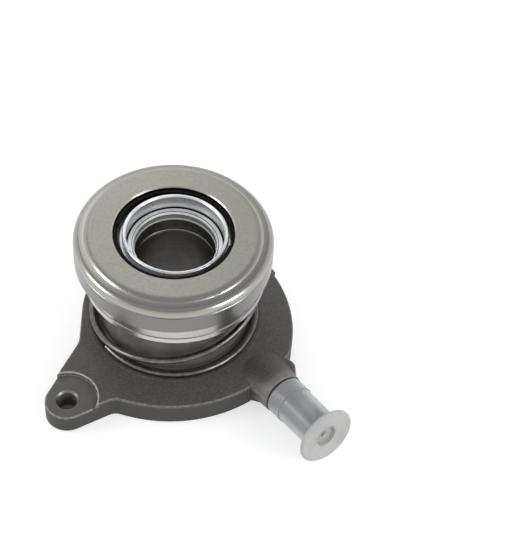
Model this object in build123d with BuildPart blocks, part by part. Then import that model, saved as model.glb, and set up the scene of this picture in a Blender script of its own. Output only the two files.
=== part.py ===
from build123d import *
import os
from math import acos, atan2, cos, hypot, radians, sin, sqrt

# Concentric slave cylinder of a clutch: an annular piston slides on a guide tube and pushes a
# release bearing against the clutch fingers. Millimetres. The origin is on the axis of the guide
# tube, in the machined mounting face, and +Z runs along the axis towards the bearing.
# Azimuths are in degrees, counted from +X towards +Y, seen from the bearing side.

# Fits and gaps
running_gap = 0.10       # radial, between parts that slide or turn on each other
press_gap = 0.05         # between parts that are pressed together, drawn just apart

# Flange of the housing
flange_thickness = 9.6
face_drop = 0.4          # the cast back lies this far above the machined mounting land
land_outer_r = 29.9
back_radius = 32.3       # round side of the flange, about the axis
wide_radius = 49.3       # wide side, about its own centre
wide_centre = (-7.1, -6.9)
front_radius = 48.4      # side between the ear and the port
front_centre = (-2.0, 6.8)
lobe_start_azimuth = 69.0
lobe_fillet = 2.0
rim_fillet = 0.7
rim_chamfer = 0.5
foot_step = 1.1          # the cast foot stands out of the wide side by this much
foot_start_azimuth = 32.0
foot_end_azimuth = 65.5
foot_low = 2.6
foot_chamfer = 0.7

# Fixing ear
ear_hole = (-32.1, -40.9)
ear_tip_r = 7.5
ear_hole_r = 3.3         # clearance for an M6 screw
ear_hole_chamfer = 0.6
ear_side_start = (-32.2, -2.5)
ear_side_corner = (-31.3, -17.0)
ear_side_fillet = 8.0
ear_front_corner = (-16.4, -39.6)
ear_front_fillet = 5.0
screw_pad_r = 10.2
screw_pad_depth = 1.5

# Cylinder wall of the housing
piston_room = 6.5        # from the guide tube to the bore of the cylinder
cylinder_top = 25.1
cylinder_wall = 3.5      # at its tip
cylinder_draft = 0.5     # its root is this much thicker
cylinder_root_fillet = 1.2
cylinder_tip_chamfer = 0.5
wiper_width = 1.3
wiper_seat_depth = 2.0
wiper_relief = 0.6
wiper_lip = 0.7
spring_seat_rim = 1.2    # of the ground seat, outside the spring
spring_seat_depth = 0.3

# Guide tube with its back flange
tube_outer_r = 15.0
tube_wall = 1.4
tube_top = 45.1
tube_disc_r = 25.8
tube_disc_sunk = 0.6
tube_disc_top = 3.0
tube_mouth_chamfer = 1.3
tube_front_bore_step = 0.2   # the bore is this much wider in radius near its front
tube_front_bore_depth = 2.6
tube_front_taper = 0.6
tube_mark_z = 36.6       # turned ring inside the bore
tube_mark_depth = 0.35
tube_mark_width = 0.9
counterbore_chamfer = 0.9
tube_seal_size = 1.0
tube_seal_z = 2.2
drain_azimuth = 217.0
drain_width = 4.4
drain_depth = 1.5
drain_reach = 50.0

# Stop ring on the end of the guide tube
stop_ring_stand = 0.85   # outside the tube
stop_ring_thickness = 1.4
stop_ring_seat_depth = 0.65

# Hydraulic port, along the port axis
port_end = (40.2, -31.3, 7.9)
port_azimuth = -50.4
port_rise = 8.0          # degrees above the plane of the flange
boss_r = 7.4
boss_chamfer = 0.5
boss_collar = 2.8        # turned round end of the boss
boss_middle = 9.0        # behind its end it widens and flattens into the flange
boss_middle_width = 8.9  # half widths and half heights of these sections
boss_middle_height = 5.9
boss_length = 18.5
boss_root_width = 12.0
boss_root_height = 3.9
boss_flat_z = 1.3        # cast flat below the boss
tongue_side = 10.6       # half width of the flange's tongue on its wide side
tongue_corner = 7.6      # its corner lies this far behind the end of the boss
tongue_end = 2.6
tongue_root = 16.0
tongue_fillet = 3.5
port_seat_r = 4.4
port_seat_depth = 9.0
passage_r = 1.2
passage_rise = 5.0
passage_length = 24.5

# Spigot in the port
spigot_r = 5.0
spigot_length = 18.0
spigot_bead = 0.2
spigot_bead_place = 12.5
spigot_bead_width = 1.6
spigot_bore_r = 1.5
spigot_mouth_r = 2.6
spigot_mouth_depth = 6.0
spigot_tip_chamfer = 0.8
port_ring_r = 7.2
port_ring_thickness = 0.7
port_ring_round = 0.3

# Transport cap over the spigot
cap_mouth_r = 7.1
cap_body_r = 6.85
cap_neck_r = 6.7
cap_step = 5.6           # length of the wider mouth
cap_mouth_wall = 1.1
cap_bore_gap = 0.15
cap_disc_r = 10.3
cap_disc_thickness = 1.6
cap_length = 24.0        # from the end of the boss to the outer face of the disc
cap_end_wall = 2.7
cap_recess_r = 3.9
cap_recess_depth = 1.4
cap_dish_r = 9.0
cap_dish_depth = 0.5
cap_nub_r = 0.9
cap_disc_fillet = 0.7

# Piston, its seal and the ring between them
piston_neck_inset = 1.4  # inside the bore of the cylinder
skirt_top = 33.6
skirt_bottom = 22.1
skirt_chamfer = 0.6
backup_thickness = 0.8
seal_height = 3.0
seal_lip = 1.2
seal_web = 1.2
seal_root = 0.7

# Carrier sleeve of the bearing, with its ring and washer
sleeve_gap = 0.55        # round the stop ring
sleeve_wall = 1.35
sleeve_rim_drop = 0.95   # the rim lies this far below the contact face
sleeve_rim_fillet = 0.6
sleeve_rim_chamfer = 0.4
carrier_flange_inset = 0.95   # inside the edge of the bearing's inner ring
carrier_flange_thickness = 1.5
retaining_groove_depth = 0.55
retaining_ring_stand = 0.7   # outside the sleeve
retaining_ring_thickness = 0.8
disc_spring_gap = 0.2    # round the sleeve
disc_spring_room = 0.9   # inside the foot of the front seal, for the bearing's shift
disc_spring_height = 1.05
disc_spring_sheet = 0.4

# Spring retainer, a pressed steel cup
retainer_floor_drop = 12.6   # top of its floor, below the contact face
retainer_sheet = 0.65
retainer_bulge_stand = 0.3   # outside its neck
retainer_lip_stand = 0.25
retainer_corner_inset = 1.3  # inside its bulge
retainer_hole_gap = 0.25
retainer_collar = 1.1
retainer_bulge_drop = 1.3
retainer_bulge_height = 0.6
retainer_neck_drop = 5.6
retainer_hem = 2.0
retainer_rim_length = 0.3
hem_fillet = 0.2
retainer_bend = 0.8

# Preload spring
wire_r = 1.2
spring_inner_gap = 1.9   # round the root of the cylinder wall
spring_outer_gap = 0.45  # inside the retainer
spring_tip_azimuth = 222.0
spring_tip_gap = 0.3     # between the end of the first turn and the wire that passes over it
spring_upper_angle = 300.0
spring_active_turns = 0.75

# Release bearing
contact_face_z = 51.5
bearing_shift = (-0.45, -0.45)   # the self-centring bearing lies off the guide tube's axis
ball_r = 3.57
ball_count = 17
inner_ring_wall = 3.75   # inside the balls' track
ball_drop = 6.2
race_gap = 0.08
outer_ring_wall = 3.75   # outside it
contact_hole_room = 1.8  # round the retaining ring
contact_hole_chamfer = 0.35
contact_flat_inset = 5.8   # these three are measured in from the outside of the bearing
disc_edge_inset = 3.6
shoulder_inset = 2.0
disc_edge_drop = 1.0
shoulder_drop = 1.3
outer_round_drop = 3.7
outer_groove_drop = 4.4
outer_groove_size = 0.25
outer_free_edge_drop = 11.5
outer_edge_chamfer = 0.2
seal_seat_wall = 1.8     # of the outer ring, outside the rear seal
seal_seat_height = 2.8
bearing_play = 0.85      # between the sleeve and the bore of the inner ring
inner_flange_inset = 1.25   # the inner ring's flange ends this far inside the ball circle
inner_ring_rise = 0.9    # top of the inner ring, above the ball centres
inner_race_low_angle = 250.0
inner_race_high_angle = 185.0
cage_inside = 0.95       # thickness of the cage inside the ball circle
cage_outside = 1.1
cage_low = 4.7
cage_high = 0.9
cage_pocket_gap = 0.10
rear_seal_gap = 0.15
rear_seal_sheet = 0.45
rear_seal_collar_sheet = 0.65
rear_seal_collar_height = 2.6
front_seal_lip_gap = 1.0     # round the sleeve
front_seal_gap = 0.3
front_seal_wall = 0.65
front_seal_drop = 1.0    # its lip lies this far below the contact face
front_seal_foot_gap = 0.13   # to the balls
front_seal_foot_wall = 1.0
front_seal_foot_height = 2.0
front_seal_notch = 3.2
front_seal_notch_azimuths = (178.0, 355.0)

os.makedirs("parts", exist_ok=True)


def polar(radius, azimuth):
    """The point at this radius and azimuth about the axis."""
    return (radius * cos(radians(azimuth)), radius * sin(radians(azimuth)))


def tangent_point(point, centre, radius, side):
    """Where the line from point touches the circle; side 1 is counter-clockwise of the centre line."""
    dx = point[0] - centre[0]
    dy = point[1] - centre[1]
    turn = atan2(dy, dx) + side * acos(radius / hypot(dx, dy))
    return (centre[0] + radius * cos(turn), centre[1] + radius * sin(turn))


def circle_reach(centre, radius, azimuth):
    """Distance from the axis to this circle at this azimuth."""
    along = centre[0] * cos(radians(azimuth)) + centre[1] * sin(radians(azimuth))
    return along + sqrt(radius**2 - hypot(*centre) ** 2 + along**2)


def beyond(start, end, share):
    """The point on the line from start through end, this share of its length past end."""
    return (end[0] + share * (end[0] - start[0]), end[1] + share * (end[1] - start[1]))


def ring_section(inner, outer, low, high, mode=Mode.ADD):
    """Draws the rectangular section of a turned ring: inner and outer radius, low and high end."""
    with Locations(((inner + outer) / 2, (low + high) / 2)):
        Rectangle(outer - inner, high - low, mode=mode)


def corner(sketch, point):
    """The corner of the sketch that lies nearest to this point of its plane."""
    return sketch.vertices().sort_by_distance(point)[0]


def outline_section(*points, mode=Mode.ADD):
    """Draws a section with straight sides through the points."""
    Polygon(*points, align=None, mode=mode)


# Radii that follow from the sizes above, from the guide tube outwards
tube_bore_r = tube_outer_r - tube_wall
tube_front_bore_r = tube_bore_r + tube_front_bore_step
stop_ring_seat_r = tube_outer_r - stop_ring_seat_depth
stop_ring_r = tube_outer_r + stop_ring_stand
cylinder_bore_r = tube_outer_r + piston_room
wiper_seat_r = cylinder_bore_r + wiper_width
cylinder_tip_r = cylinder_bore_r + cylinder_wall
cylinder_root_r = cylinder_tip_r + cylinder_draft
spring_mean_r = cylinder_root_r + spring_inner_gap + wire_r
spring_seat_r = spring_mean_r + wire_r + spring_seat_rim
retainer_inner_r = spring_mean_r + wire_r + spring_outer_gap
retainer_neck_r = retainer_inner_r + retainer_sheet
retainer_lip_r = retainer_neck_r + retainer_lip_stand
retainer_bulge_r = retainer_neck_r + retainer_bulge_stand
retainer_corner_r = retainer_bulge_r - retainer_corner_inset
piston_neck_r = cylinder_bore_r - piston_neck_inset
sleeve_inner_r = stop_ring_r + sleeve_gap
sleeve_outer_r = sleeve_inner_r + sleeve_wall
retaining_ring_r = sleeve_outer_r + retaining_ring_stand
inner_ring_bore_r = sleeve_outer_r + bearing_play
race_r = ball_r + race_gap
ball_circle_r = inner_ring_bore_r + inner_ring_wall + race_r
inner_ring_flange_r = ball_circle_r - inner_flange_inset
carrier_flange_r = inner_ring_flange_r - carrier_flange_inset
bearing_outer_r = ball_circle_r + race_r + outer_ring_wall
seal_seat_r = bearing_outer_r - seal_seat_wall
contact_hole_r = retaining_ring_r + contact_hole_room
front_seal_lip_r = sleeve_outer_r + front_seal_lip_gap
foot_outer_r = ball_circle_r - ball_r - front_seal_foot_gap
foot_inner_r = foot_outer_r - front_seal_foot_wall
disc_spring_inner_r = sleeve_outer_r + disc_spring_gap
disc_spring_outer_r = foot_inner_r - disc_spring_room

# Heights that follow
retainer_floor_top = contact_face_z - retainer_floor_drop
retainer_floor_low = retainer_floor_top - retainer_sheet
carrier_flange_top = retainer_floor_top + carrier_flange_thickness
ball_z = contact_face_z - ball_drop
inner_ring_top = ball_z + inner_ring_rise
retaining_ring_low = inner_ring_top + disc_spring_height
sleeve_rim_z = contact_face_z - sleeve_rim_drop
stop_ring_low = tube_top - stop_ring_thickness
seal_top = skirt_bottom - backup_thickness
seal_bottom = seal_top - seal_height
spring_seat_z = flange_thickness - spring_seat_depth

# Work planes: the section through the bearing's own axis, and the plane at the end of the port
# boss, whose normal is the port's axis and points outwards.
bearing_axis = Axis((*bearing_shift, 0), (0, 0, 1))
bearing_section = Plane(origin=(*bearing_shift, 0), x_dir=(1, 0, 0), z_dir=(0, -1, 0))
port_across = Vector(-sin(radians(port_azimuth)), cos(radians(port_azimuth)), 0)
port_direction = Vector(
    cos(radians(port_azimuth)) * cos(radians(port_rise)),
    sin(radians(port_azimuth)) * cos(radians(port_rise)),
    sin(radians(port_rise)),
)
passage_direction = Vector(
    cos(radians(port_azimuth)) * cos(radians(passage_rise)),
    sin(radians(port_azimuth)) * cos(radians(passage_rise)),
    sin(radians(passage_rise)),
)
port_axis = Axis(port_end, port_direction)
port_plane = Plane(origin=port_end, x_dir=port_across, z_dir=port_direction)
# In this section local x is the distance from the port's axis and local y is the way out along it.
port_section = Plane(origin=port_end, x_dir=port_across, z_dir=port_across.cross(port_direction))
seat_end = Vector(*port_end) - port_direction * port_seat_depth
passage_plane = Plane(origin=seat_end, x_dir=port_across, z_dir=passage_direction)


def port_point(across, out):
    """The point of the flange's plane this far across and out from the middle of the boss's end."""
    turn = radians(port_azimuth)
    x = port_end[0] + across * port_across.X + out * cos(turn)
    y = port_end[1] + across * port_across.Y + out * sin(turn)
    return (x, y)


# Housing: one aluminium casting with the flange, the fixing ear, the port boss, the cast foot and
# the cylinder wall, machined on the mounting land, the bore, the spring seat and the screw pad.
lobe_tip_r = circle_reach(wide_centre, wide_radius, lobe_start_azimuth)
lobe_round = min(lobe_fillet, 0.45 * (lobe_tip_r - back_radius))
ear_side_touch = tangent_point(ear_side_corner, ear_hole, ear_tip_r, 1)
ear_front_touch = tangent_point(ear_front_corner, ear_hole, ear_tip_r, -1)
ear_front_inner = beyond(ear_front_touch, ear_front_corner, 1.0)
reach = 2 * front_radius
with BuildPart() as housing:
    with BuildSketch(Plane.XY.offset(face_drop)) as outline:
        with Locations(wide_centre):
            Circle(wide_radius)
        with Locations(front_centre):
            Circle(front_radius, mode=Mode.INTERSECT)
        outline_section(
            (0, 0),
            polar(reach, 230.0),
            polar(reach, 300.0),
            polar(reach, 0.0),
            polar(reach, lobe_start_azimuth),
            mode=Mode.INTERSECT,
        )
        Circle(back_radius)
        outline_section(
            ear_side_start,
            ear_side_corner,
            ear_side_touch,
            ear_hole,
            ear_front_touch,
            ear_front_inner,
            (0, 0),
        )
        with Locations(ear_hole):
            Circle(ear_tip_r)
        # The tongue under the port boss, straight on the ear's side and flared on the other.
        outline_section(
            port_point(-boss_r / 2, -tongue_end),
            port_point(-boss_r, -tongue_corner),
            port_point(-boss_r, -tongue_root),
            port_point(boss_r, -tongue_root),
            port_point(tongue_side, -tongue_corner),
            port_point(boss_r, -tongue_end),
        )
        lobe_root = corner(outline, polar(back_radius, lobe_start_azimuth))
        lobe_tip = corner(outline, polar(lobe_tip_r, lobe_start_azimuth))
        fillet([lobe_root, lobe_tip], lobe_round)
        fillet(corner(outline, ear_side_corner), ear_side_fillet)
        fillet(corner(outline, ear_front_corner), ear_front_fillet)
        fillet(corner(outline, port_point(tongue_side, -tongue_corner)), tongue_fillet)
    extrude(amount=flange_thickness - face_drop)
    with BuildSketch(Plane.XY.offset(flange_thickness)):
        with Locations(ear_hole):
            Circle(screw_pad_r)
    extrude(amount=-screw_pad_depth, mode=Mode.SUBTRACT)
    # The rim of the flange and the edge of the screw pad's step are rounded first, then the
    # pad's own rim, which is all of its outline but the foot of that step.
    flange_top = housing.faces().sort_by(Axis.Z)[-1]
    fillet(flange_top.outer_wire().edges(), rim_fillet)
    screw_pad = housing.faces().filter_by(Axis.Z).sort_by(Axis.Z)[-2]
    pad_rim = screw_pad.outer_wire().edges()
    step_foot = pad_rim.sort_by_distance((0, 0, flange_thickness))[0]
    fillet([edge for edge in pad_rim if edge != step_foot], rim_fillet)
    chamfer(housing.faces().sort_by(Axis.Z)[0].outer_wire().edges(), rim_chamfer)

    # The cast foot stands out of the wide side and does not reach down to the back.
    with BuildSketch(Plane.XY.offset(foot_low)):
        with Locations(wide_centre):
            Circle(wide_radius + foot_step)
            Circle(wide_radius - foot_step, mode=Mode.SUBTRACT)
        outline_section(
            (0, 0),
            polar(reach, foot_start_azimuth),
            polar(reach, foot_end_azimuth),
            mode=Mode.INTERSECT,
        )
    extrude(amount=flange_thickness - foot_low)
    foot_rim = housing.edges().filter_by(GeomType.CIRCLE)
    foot_rim = foot_rim.filter_by(lambda edge: abs(edge.radius - wide_radius - foot_step) < 0.01)
    chamfer(foot_rim.sort_by(Axis.Z)[-1], foot_chamfer)

    # The port boss widens and flattens into the flange. Below, boss and tongue are cast flat.
    with BuildSketch(port_plane.offset(-boss_collar / 2)):
        Circle(boss_r)
    with BuildSketch(port_plane.offset(-boss_middle)):
        Ellipse(boss_middle_width, boss_middle_height)
    with BuildSketch(port_plane.offset(-boss_length)):
        Ellipse(boss_root_width, boss_root_height)
    loft()
    with BuildSketch(Plane.XY.offset(boss_flat_z)):
        with Locations((port_end[0], port_end[1])):
            Circle(boss_length)
        with Locations(front_centre):
            Circle(front_radius, mode=Mode.SUBTRACT)
    extrude(amount=-boss_r, mode=Mode.SUBTRACT)
    with BuildSketch(port_section):
        outline_section(
            (0, 0),
            (boss_r - boss_chamfer, 0),
            (boss_r, -boss_chamfer),
            (boss_r, -boss_collar),
            (0, -boss_collar),
        )
    revolve(axis=port_axis)

    # The ground seat of the spring, and the cylinder wall that rises from it.
    with BuildSketch(Plane.XY.offset(flange_thickness)):
        Circle(spring_seat_r)
    extrude(amount=-spring_seat_depth, mode=Mode.SUBTRACT)
    with BuildSketch(Plane.XZ) as cylinder_section:
        outline_section(
            (cylinder_bore_r - 1, face_drop),
            (cylinder_root_r + 2 * cylinder_root_fillet, face_drop),
            (cylinder_root_r + 2 * cylinder_root_fillet, spring_seat_z),
            (cylinder_root_r, spring_seat_z),
            (cylinder_tip_r, cylinder_top),
            (cylinder_bore_r - 1, cylinder_top),
        )
        fillet(corner(cylinder_section, (cylinder_root_r, spring_seat_z)), cylinder_root_fillet)
        chamfer(corner(cylinder_section, (cylinder_tip_r, cylinder_top)), cylinder_tip_chamfer)
    revolve(axis=Axis.Z)

    # The mounting land, the bore with its steps for the tube's disc and the wiper, and the drain.
    with BuildSketch(Plane.XY):
        Circle(land_outer_r)
    extrude(amount=face_drop)
    with BuildSketch(Plane.XZ):
        outline_section(
            (0, -1),
            (tube_disc_r + counterbore_chamfer, -1),
            (tube_disc_r + counterbore_chamfer, 0),
            (tube_disc_r, counterbore_chamfer),
            (tube_disc_r, tube_disc_top),
            (cylinder_bore_r, tube_disc_top),
            (cylinder_bore_r, cylinder_top - wiper_seat_depth),
            (wiper_seat_r, cylinder_top - wiper_seat_depth),
            (wiper_seat_r, cylinder_top + 1),
            (0, cylinder_top + 1),
        )
    revolve(axis=Axis.Z, mode=Mode.SUBTRACT)
    with BuildSketch(Plane.XY):
        with PolarLocations(drain_reach / 2, 1, start_angle=drain_azimuth):
            Rectangle(drain_reach, drain_width)
    extrude(amount=drain_depth, mode=Mode.SUBTRACT)

    # The screw hole, and the port with its passage to the space under the piston.
    with BuildSketch(Plane.XY):
        with Locations(ear_hole):
            Circle(ear_hole_r)
    extrude(amount=flange_thickness, mode=Mode.SUBTRACT)
    ear_hole_rims = housing.edges().filter_by(GeomType.CIRCLE)
    ear_hole_rims = ear_hole_rims.filter_by(lambda edge: abs(edge.radius - ear_hole_r) < 0.01)
    chamfer(ear_hole_rims, ear_hole_chamfer)
    with BuildSketch(port_plane):
        Circle(port_seat_r)
    extrude(amount=-port_seat_depth, mode=Mode.SUBTRACT)
    with BuildSketch(passage_plane):
        Circle(passage_r)
    extrude(amount=-passage_length, mode=Mode.SUBTRACT)
housing.part.label = "housing"
export_step(housing.part, "parts/housing.step")

# Guide tube: drawn steel tube with a flat disc at its back end. The piston slides on it. A turned
# ring marks its bore near the front, and the housing's drain groove goes on across the disc.
seal_groove_low = tube_seal_z - tube_seal_size / 2
seal_groove_high = tube_seal_z + tube_seal_size / 2
tube_disc_rim = tube_disc_r - press_gap
with BuildPart() as guide_tube:
    with BuildSketch(Plane.XZ):
        outline_section(
            (tube_bore_r + tube_mouth_chamfer, tube_disc_sunk),
            (tube_disc_rim, tube_disc_sunk),
            (tube_disc_rim, seal_groove_low),
            (tube_disc_rim - tube_seal_size, seal_groove_low),
            (tube_disc_rim - tube_seal_size, seal_groove_high),
            (tube_disc_rim, seal_groove_high),
            (tube_disc_rim, tube_disc_top),
            (tube_outer_r, tube_disc_top),
            (tube_outer_r, stop_ring_low),
            (stop_ring_seat_r, stop_ring_low),
            (stop_ring_seat_r, tube_top),
            (tube_front_bore_r + tube_front_taper / 2, tube_top),
            (tube_front_bore_r, tube_top - tube_front_taper),
            (tube_front_bore_r, tube_top - tube_front_bore_depth),
            (tube_bore_r, tube_top - tube_front_bore_depth - tube_front_taper),
            (tube_bore_r, tube_mark_z + tube_mark_width / 2),
            (tube_bore_r + tube_mark_depth, tube_mark_z),
            (tube_bore_r, tube_mark_z - tube_mark_width / 2),
            (tube_bore_r, tube_disc_sunk + tube_mouth_chamfer),
        )
    revolve(axis=Axis.Z)
    with BuildSketch(Plane.XY):
        with PolarLocations(drain_reach / 2, 1, start_angle=drain_azimuth):
            Rectangle(drain_reach, drain_width)
    extrude(amount=drain_depth, mode=Mode.SUBTRACT)
guide_tube.part.label = "guide_tube"
export_step(guide_tube.part, "parts/guide_tube.step")

# Seal in the rim of the disc: a rubber ring that closes the space under the piston.
with BuildPart() as guide_tube_seal:
    with BuildSketch(Plane.XZ):
        with Locations((tube_disc_r - (tube_seal_size + press_gap) / 2, tube_seal_z)):
            Circle(tube_seal_size / 2 - press_gap)
    revolve(axis=Axis.Z)
guide_tube_seal.part.label = "guide_tube_seal"
export_step(guide_tube_seal.part, "parts/guide_tube_seal.step")

# Stop ring: a flat steel ring on the end of the guide tube that ends the piston's outward stroke.
with BuildPart() as stop_ring:
    with BuildSketch(Plane.XZ):
        ring_section(stop_ring_seat_r + press_gap, stop_ring_r, stop_ring_low, tube_top)
    revolve(axis=Axis.Z)
stop_ring.part.label = "stop_ring"
export_step(stop_ring.part, "parts/stop_ring.step")

# Dust wiper: a rubber ring in the mouth of the cylinder wall, its lip against the piston.
wiper_low = cylinder_top - wiper_seat_depth
with BuildPart() as dust_wiper:
    with BuildSketch(Plane.XZ):
        outline_section(
            (cylinder_bore_r + running_gap, wiper_low),
            (wiper_seat_r - press_gap, wiper_low),
            (wiper_seat_r - press_gap, cylinder_top),
            (cylinder_bore_r + wiper_relief, cylinder_top - wiper_relief),
            (cylinder_bore_r - press_gap, cylinder_top),
            (cylinder_bore_r - press_gap, cylinder_top - wiper_lip),
            (cylinder_bore_r + running_gap, cylinder_top - wiper_lip),
        )
    revolve(axis=Axis.Z)
dust_wiper.part.label = "dust_wiper"
export_step(dust_wiper.part, "parts/dust_wiper.step")

# Spigot of the hydraulic port: a turned tube pressed into the boss, with a bead for the hose.
bead_low = spigot_bead_place - spigot_bead_width / 2
bead_high = spigot_bead_place + spigot_bead_width / 2
with BuildPart() as port_spigot:
    with BuildSketch(port_section):
        outline_section(
            (spigot_bore_r, press_gap - port_seat_depth),
            (port_seat_r - press_gap, press_gap - port_seat_depth),
            (port_seat_r - press_gap, 0),
            (spigot_r, 0),
            (spigot_r, bead_low),
            (spigot_r + spigot_bead, bead_low + spigot_bead),
            (spigot_r + spigot_bead, bead_high - spigot_bead),
            (spigot_r, bead_high),
            (spigot_r, spigot_length - spigot_tip_chamfer),
            (spigot_r - spigot_tip_chamfer, spigot_length),
            (spigot_mouth_r, spigot_length),
            (spigot_mouth_r, spigot_length - spigot_mouth_depth),
            (spigot_bore_r, spigot_length - spigot_mouth_depth - spigot_bore_r),
        )
    revolve(axis=port_axis)
port_spigot.part.label = "port_spigot"
export_step(port_spigot.part, "parts/port_spigot.step")

# Sealing ring at the root of the spigot, flat against the turned end of the boss.
with BuildPart() as port_ring:
    with BuildSketch(port_section) as port_ring_section:
        ring_section(spigot_r + press_gap, port_ring_r, 0, port_ring_thickness)
        fillet(port_ring_section.vertices(), port_ring_round)
    revolve(axis=port_axis)
port_ring.part.label = "port_ring"
export_step(port_ring.part, "parts/port_ring.step")

# Transport cap: a moulded translucent cap over the spigot, with a flat disc to pull it off by.
cap_start = port_ring_thickness + press_gap
cap_bore_r = spigot_r + spigot_bead + cap_bore_gap
cap_mouth_bore_r = cap_mouth_r - cap_mouth_wall
cap_disc_low = cap_length - cap_disc_thickness
cap_floor = cap_length - cap_dish_depth - cap_recess_depth
with BuildPart() as transport_cap:
    with BuildSketch(port_section) as cap_section:
        outline_section(
            (cap_mouth_bore_r, cap_start),
            (cap_mouth_r, cap_start),
            (cap_mouth_r, cap_start + cap_step),
            (cap_body_r, cap_start + cap_step),
            (cap_neck_r, cap_disc_low),
            (cap_disc_r, cap_disc_low),
            (cap_disc_r, cap_length),
            (cap_dish_r, cap_length),
            (cap_recess_r, cap_length - cap_dish_depth),
            (cap_recess_r, cap_floor),
            (cap_nub_r, cap_floor),
            (cap_nub_r, cap_floor + cap_nub_r),
            (0, cap_floor + cap_nub_r),
            (0, cap_length - cap_end_wall),
            (cap_bore_r, cap_length - cap_end_wall),
            (cap_bore_r, cap_start + cap_step),
            (cap_mouth_bore_r, cap_start + cap_step - cap_mouth_wall),
        )
        for rim_place in (cap_disc_low, cap_length):
            fillet(corner(cap_section, (cap_disc_r, rim_place)), cap_disc_fillet)
    revolve(axis=port_axis)
transport_cap.part.label = "transport_cap"
export_step(transport_cap.part, "parts/transport_cap.step")

# Piston: a plastic ring between the guide tube and the cylinder wall, with a neck that carries
# the spring retainer and a spigot that centres the carrier sleeve.
piston_inner_r = tube_outer_r + running_gap
piston_outer_r = cylinder_bore_r - running_gap
spigot_top = stop_ring_low - press_gap
with BuildPart() as piston:
    with BuildSketch(Plane.XZ):
        outline_section(
            (piston_inner_r, skirt_bottom),
            (piston_outer_r, skirt_bottom),
            (piston_outer_r, skirt_top - skirt_chamfer),
            (piston_outer_r - skirt_chamfer, skirt_top),
            (piston_neck_r, skirt_top),
            (piston_neck_r, retainer_floor_top),
            (sleeve_inner_r - press_gap, retainer_floor_top),
            (sleeve_inner_r - press_gap, spigot_top),
            (piston_inner_r, spigot_top),
        )
    revolve(axis=Axis.Z)
piston.part.label = "piston"
export_step(piston.part, "parts/piston.step")

# Backup ring: a hard flat ring between the piston and its rubber seal.
with BuildPart() as seal_backup_ring:
    with BuildSketch(Plane.XZ):
        ring_section(piston_inner_r, piston_outer_r, seal_top, skirt_bottom)
    revolve(axis=Axis.Z)
seal_backup_ring.part.label = "seal_backup_ring"
export_step(seal_backup_ring.part, "parts/seal_backup_ring.step")

# Piston seal: a rubber ring with one lip on the guide tube and one on the cylinder wall, open
# towards the fluid.
seal_inner_r = tube_outer_r + press_gap
seal_outer_r = cylinder_bore_r - press_gap
seal_middle_r = (seal_inner_r + seal_outer_r) / 2
with BuildPart() as piston_seal:
    with BuildSketch(Plane.XZ):
        outline_section(
            (seal_inner_r, seal_bottom),
            (seal_inner_r + seal_lip, seal_bottom),
            (seal_middle_r - seal_root, seal_top - seal_web),
            (seal_middle_r + seal_root, seal_top - seal_web),
            (seal_outer_r - seal_lip, seal_bottom),
            (seal_outer_r, seal_bottom),
            (seal_outer_r, seal_top),
            (seal_inner_r, seal_top),
        )
    revolve(axis=Axis.Z)
piston_seal.part.label = "piston_seal"
export_step(piston_seal.part, "parts/piston_seal.step")

# Bearing carrier: a bright steel sleeve with a flange that the bearing rests on, free to shift
# sideways. A groove near its rim holds the retaining ring.
with BuildPart() as bearing_carrier:
    with BuildSketch(Plane.XZ) as carrier_section:
        ring_section(sleeve_inner_r, sleeve_outer_r, retainer_floor_top, sleeve_rim_z)
        ring_section(sleeve_inner_r, carrier_flange_r, retainer_floor_top, carrier_flange_top)
        fillet(corner(carrier_section, (sleeve_outer_r, sleeve_rim_z)), sleeve_rim_fillet)
        chamfer(corner(carrier_section, (sleeve_inner_r, sleeve_rim_z)), sleeve_rim_chamfer)
        ring_section(
            sleeve_outer_r - retaining_groove_depth,
            sleeve_outer_r + 1,
            retaining_ring_low,
            retaining_ring_low + retaining_ring_thickness,
            mode=Mode.SUBTRACT,
        )
    revolve(axis=Axis.Z)
bearing_carrier.part.label = "bearing_carrier"
export_step(bearing_carrier.part, "parts/bearing_carrier.step")

# Retaining ring: sits in the sleeve's groove and holds the washer down on the bearing.
with BuildPart() as retaining_ring:
    with BuildSketch(Plane.XZ):
        ring_section(
            sleeve_outer_r - retaining_groove_depth + press_gap,
            retaining_ring_r,
            retaining_ring_low,
            retaining_ring_low + retaining_ring_thickness,
        )
    revolve(axis=Axis.Z)
retaining_ring.part.label = "retaining_ring"
export_step(retaining_ring.part, "parts/retaining_ring.step")

# Disc spring: a conical washer that presses the bearing on the carrier, so that it slides stiffly.
with BuildPart() as disc_spring:
    with BuildSketch(Plane.XZ):
        outline_section(
            (disc_spring_inner_r, retaining_ring_low),
            (disc_spring_inner_r, retaining_ring_low - disc_spring_sheet),
            (disc_spring_outer_r, inner_ring_top + press_gap),
            (disc_spring_outer_r, inner_ring_top + press_gap + disc_spring_sheet),
        )
    revolve(axis=Axis.Z)
disc_spring.part.label = "disc_spring"
export_step(disc_spring.part, "parts/disc_spring.step")

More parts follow.
